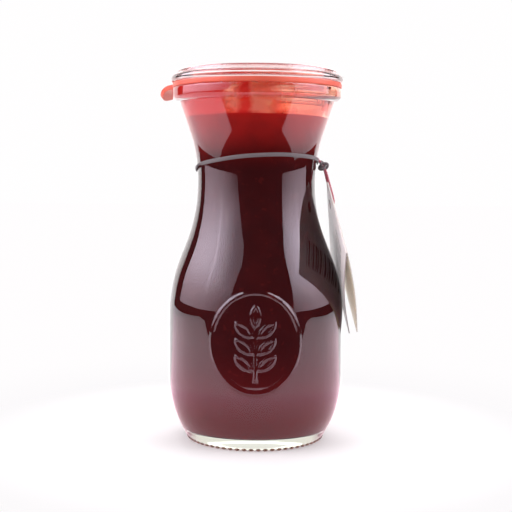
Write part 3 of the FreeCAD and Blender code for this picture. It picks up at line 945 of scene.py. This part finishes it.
grid = [Vector((across, fold_length * j / columns)) for across in marks for j in range(columns + 1)]
flat, pairs = [spot for spot in grid if from_hole(spot) > hole_radius + hole_margin], []
for hole in holes:
    first = len(flat)
    flat += [hole + Vector((math.cos(a), math.sin(a))) * hole_radius for a in even_angles(hole_sides)]
    pairs += [(first + i, first + (i + 1) % hole_sides) for i in range(hole_sides)]
flat, _, triangles, *_ = delaunay_2d_cdt(flat, pairs, [], 0, 1e-6)
triangles = [f for f in triangles if from_hole(*(flat[v] for v in f)) > hole_radius * 0.98]
points, card_half = [[], []], card / 2 * 0.96
for p in flat:
    spot = tag_spot(p.x, p.y)
    across = tag_spot(p.x + 0.05, p.y) - tag_spot(p.x - 0.05, p.y)
    along = tag_spot(p.x, p.y + 0.05) - tag_spot(p.x, p.y - 0.05)
    out = across.cross(along).normalized()
    for side, sign in ((0, 1), (1, -1)):
        points[side].append(hung @ (spot + out * card_half * sign) * mm)
total = len(flat)
mesh = bpy.data.meshes.new("card_tag")
edges = dict.fromkeys((a, b) for f in triangles for a, b in zip(f, f[1:] + f[:1]))
rims = [(a, b) for a, b in edges if (b, a) not in edges]
faces = [tuple(f) for f in triangles] + [tuple(total + v for v in reversed(f)) for f in triangles]
faces += [(b, a, total + a, total + b) for a, b in rims]
mesh.from_pydata([tuple(p) for p in points[0] + points[1]], [], faces)
layer = mesh.uv_layers.new(name="card")
outside_slot, inside_slot, edge_slot = 0, 1, 2
slots = [inside_slot] * len(triangles) + [outside_slot] * len(triangles) + [edge_slot] * len(rims)
for polygon, slot in zip(mesh.polygons, slots):
    polygon.material_index = slot
    for loop in polygon.loop_indices:
        spot = flat[mesh.loops[loop].vertex_index % total]
        layer.data[loop].uv = (spot.x * mm, spot.y * mm)
face_outwards(mesh)
mesh.set_sharp_from_angle(angle=math.radians(50))
card_tag = new_object("card_tag", mesh)


def card_finish(name, cream, shade, inner, printed):
    """Card with short fibres, greyer on the leaf by the bottle, whose outside has plain dark bars. Its leaf
    colours, as the calls give them, hold painted light and shade.
    """
    material, place = new_finish(name)
    fibres = place.noise(2200, 3, (1, 1, 0.35))
    spot = place.node("ShaderNodeUVMap", {"uv_map": "card"})
    across, along = spot.node("ShaderNodeSeparateXYZ", {}, {0: spot}).split("X", "Y")
    outer_leaf = across.step(-0.0005, 0.0005)
    light, dark = (outer_leaf.blend((*inner, 1), (*tone, 1)) for tone in (cream, shade))
    colour = fibres.step(0.3, 0.75).blend(dark, light)
    if printed:
        wide = (across * 3900).maths("SINE") + (across * 2250).maths("SINE") * 0.8
        block = across.step(-0.0335, -0.0333) * (1 - across.step(-0.0052, -0.0050))
        block = block * along.step(0.0178, 0.0180) * (1 - along.step(0.0296, 0.0298))
        colour = (wide.step(0.15, 0.22) * block * 0.97).blend(colour, (0.02, 0.018, 0.018, 1))
    show(place, place.node("ShaderNodeBsdfPrincipled", {}, {
        "Base Color": colour, "Roughness": 0.45, "Specular IOR Level": 0.5,
        "Sheen Weight": 0.5, "Sheen Roughness": 0.3,
        "Subsurface Weight": 0.6, "Subsurface Radius": (1.0, 0.9, 0.8), "Subsurface Scale": 0.0006,
        "Normal": place.bump(fibres, 0.00003),
    }))
    return material


# Outside: the pink on the leaf by the bottle is painted red light thrown from the sauce, and the other leaf
# is painted darker grey-cream, painted shade against the lamp that falls full on it.
outside_finish = card_finish("printed_card", (0.60, 0.57, 0.54), (0.54, 0.50, 0.47), (0.86, 0.76, 0.78), True)
# Inside: the tan on the outer leaf is partly the card's own kraft tint and partly painted shade in the fold.
inside_finish = card_finish("plain_card", (0.90, 0.80, 0.62), (0.78, 0.66, 0.46), (0.84, 0.80, 0.79), False)
# Cut edges: painted darker as painted shade, darkest on the leaf by the bottle.
edge_finish = card_finish("cut_card_edge", (0.62, 0.58, 0.54), (0.50, 0.46, 0.42), (0.34, 0.29, 0.30), False)
for finish in (outside_finish, inside_finish, edge_finish):
    mesh.materials.append(finish)
settle(card_tag, None, "card", "tag")

# ---------------------------------------------------------------------------------------------
# Table, room and lamps, none of them part of the bottle. A white table with its front edge 155 mm
# before the bottle stands before a white backdrop, between two large soft panels in a dark room.

table_front, table_left, table_right = -0.155, -0.58, 0.56
mesh = bpy.data.meshes.new("table")
mesh.from_pydata([(-4, -4, 0), (4, -4, 0), (4, 4, 0), (-4, 4, 0)], [], [(0, 1, 2, 3)])
table = new_object("table", mesh)
table_finish, place = new_finish("white_table")
across, back = place.node("ShaderNodeSeparateXYZ", {}, {0: place}).split("X", "Y")
mirrored = place.node("ShaderNodeLightPath", {}, {}, "Is Glossy Ray")
distance = (across * across + back * back).maths("SQRT")
far = distance.step(0.045, 0.12)
lit = place.node("ShaderNodeBsdfDiffuse", {}, {"Color": (0.93, 0.90, 0.92, 1)})
# Painted shadow: seen straight on, the table is painted a little darker close round the bottle, a soft shade
# beyond the real one.
white = place.node("ShaderNodeEmission", {}, {
    "Color": distance.step(0.06, 0.20).blend((0.96, 0.94, 0.955, 1), (1, 0.985, 0.992, 1)), "Strength": 1.0,
})
shown = place.node("ShaderNodeMixShader", {}, {0: far, 1: lit, 2: white})
on_table = back.step(table_front - 0.004, table_front + 0.004)
on_table = on_table * across.step(table_left - 0.01, table_left + 0.01)
on_table = on_table * (1 - across.step(table_right - 0.01, table_right + 0.01))
behind = across.maths("ARCTAN2", back * -1).maths("ABSOLUTE").step(2.32, 2.39)
on_table = on_table.maths("MAXIMUM", behind)
# Painted shadow and painted light: in reflections the table is darker and pinker near the bottle, for the
# bottle's shadow and the sauce's red light on it.
glare = place.node("ShaderNodeValToRGB", {"stops": [
    (0.08, (0.42, 0.31, 0.34)), (0.12, (0.60, 0.42, 0.49)), (0.16, (0.72, 0.49, 0.60)),
    (0.20, (0.84, 0.61, 0.71)), (0.56, (0.90, 0.71, 0.79)), (0.96, (0.58, 0.57, 0.62)),
]}, {"Fac": distance * 2})
glow = place.node("ShaderNodeEmission", {}, {
    "Color": behind.blend(glare, (0.61, 0.61, 0.62, 1)), "Strength": 3.1,
})
dark = place.node("ShaderNodeEmission", {}, {"Color": (1, 1, 1, 1), "Strength": 0.02})
reflected = place.node("ShaderNodeMixShader", {}, {0: on_table, 1: dark, 2: glow})
show(place, place.node("ShaderNodeMixShader", {}, {0: mirrored, 1: shown, 2: reflected}))
mesh.materials.append(table_finish)

world = bpy.data.worlds.new("room")
bpy.context.scene.world = world
world.use_nodes = True
world.node_tree.nodes.clear()
root = Shade(world.node_tree)
way = root.node("ShaderNodeTexCoord", {}, {}, "Generated")
x, y = root.node("ShaderNodeSeparateXYZ", {}, {0: way}).split("X", "Y")
round_room = x.maths("ARCTAN2", y * -1).maths("DEGREES").maths("ABSOLUTE")
seen, through, depth, bends = root.node("ShaderNodeLightPath").split(
    "Is Camera Ray", "Is Transmission Ray", "Diffuse Depth", "Ray Depth")
# Light that comes through the glass meets a paler room, and so does light after five bounces.
through = through.maths("MAXIMUM", bends.step(4.4, 4.6))
studio = round_room.step(133, 137) * (1.7 - through * 1.48) + 0.02 + through * 0.76
strength = depth.step(0.4, 0.6).maths("MULTIPLY_ADD", 0.80 - studio, studio)
strength = seen.maths("MULTIPLY_ADD", 1 - strength, strength)
root.node("ShaderNodeOutputWorld", {}, {"Surface": root.node("ShaderNodeBackground", {}, {
    "Color": (1, 0.992, 0.996, 1), "Strength": strength,
})})

for side, corners, streak in (
    ("left", [(-0.6, -0.80, 0.05), (-0.6, -1.49, 1.3), (-0.6, 0.30, 1.3), (-0.6, 0.30, 0.05)], -0.235),
    ("right", [(0.6, -0.515, 0.05), (0.6, -0.515, 1.3), (0.6, 0.20, 1.3), (0.6, 0.20, 0.05)], -0.10),
):
    mesh = bpy.data.meshes.new(side + "_softbox")
    mesh.from_pydata(corners, [], [(0, 1, 2, 3)])
    softbox = new_object(side + "_softbox", mesh)
    softbox.visible_camera = softbox.visible_diffuse = softbox.visible_shadow = False
    softbox.visible_transmission = False
    finish, place = new_finish(side + "_softbox_cloth")
    along, high = place.node("ShaderNodeSeparateXYZ", {}, {0: place}).split("Y", "Z")
    high, middle, hot = high.step(0.03, 0.42), (along + 0.06) * 2.3, (along - streak) * 34
    spread = (middle * middle * -0.9).maths("EXPONENT")
    hot = (hot * hot * -1).maths("EXPONENT")
    bright = (high * 5.7 + 3.0) * (spread * 0.8 + 0.2) + hot * high * 2.2
    tint = high.blend((1.0, 0.80, 0.93, 1), (0.97, 0.84, 1.0, 1))
    glow = place.node("ShaderNodeVectorMath", {"operation": "SCALE"}, {0: tint, "Scale": bright})
    show(place, place.node("ShaderNodeEmission", {}, {"Color": glow, "Strength": 1.0}))
    mesh.materials.append(finish)

for name, azimuth, elevation, watts, size in (
    ("left_panel", -78, 28, 7.0, 0.8), ("right_panel", 80, 28, 6.0, 0.8), ("top_panel", 170, 62, 5.0, 0.9),
):
    lamp = bpy.data.lights.new(name, "AREA")
    lamp.shape, lamp.size, lamp.size_y, lamp.energy = "RECTANGLE", size, size, watts
    panel = new_object(name, lamp)
    a, e = math.radians(azimuth), math.radians(elevation)
    direction = Vector((math.sin(a) * math.cos(e), -math.cos(a) * math.cos(e), math.sin(e)))
    panel.location = direction * 1.1 + Vector((0, 0, 0.07))
    panel.rotation_euler = direction.to_track_quat("Z", "Y").to_euler()
    panel.visible_camera = panel.visible_glossy = panel.visible_transmission = False

camera = bpy.data.cameras.new("camera")
camera.lens, camera.sensor_width = 72.41, 36
camera.clip_start = 0.01
viewer = new_object("camera", camera)
viewer.matrix_world = (Matrix.Translation((-0.00002, -0.40067, 0.09968))
                       @ Matrix.Rotation(math.pi / 2 - 0.07235, 4, "X") @ Matrix.Rotation(0.007173, 4, "Z"))
bpy.context.scene.camera = viewer
bpy.context.scene.view_settings.view_transform = "Standard"
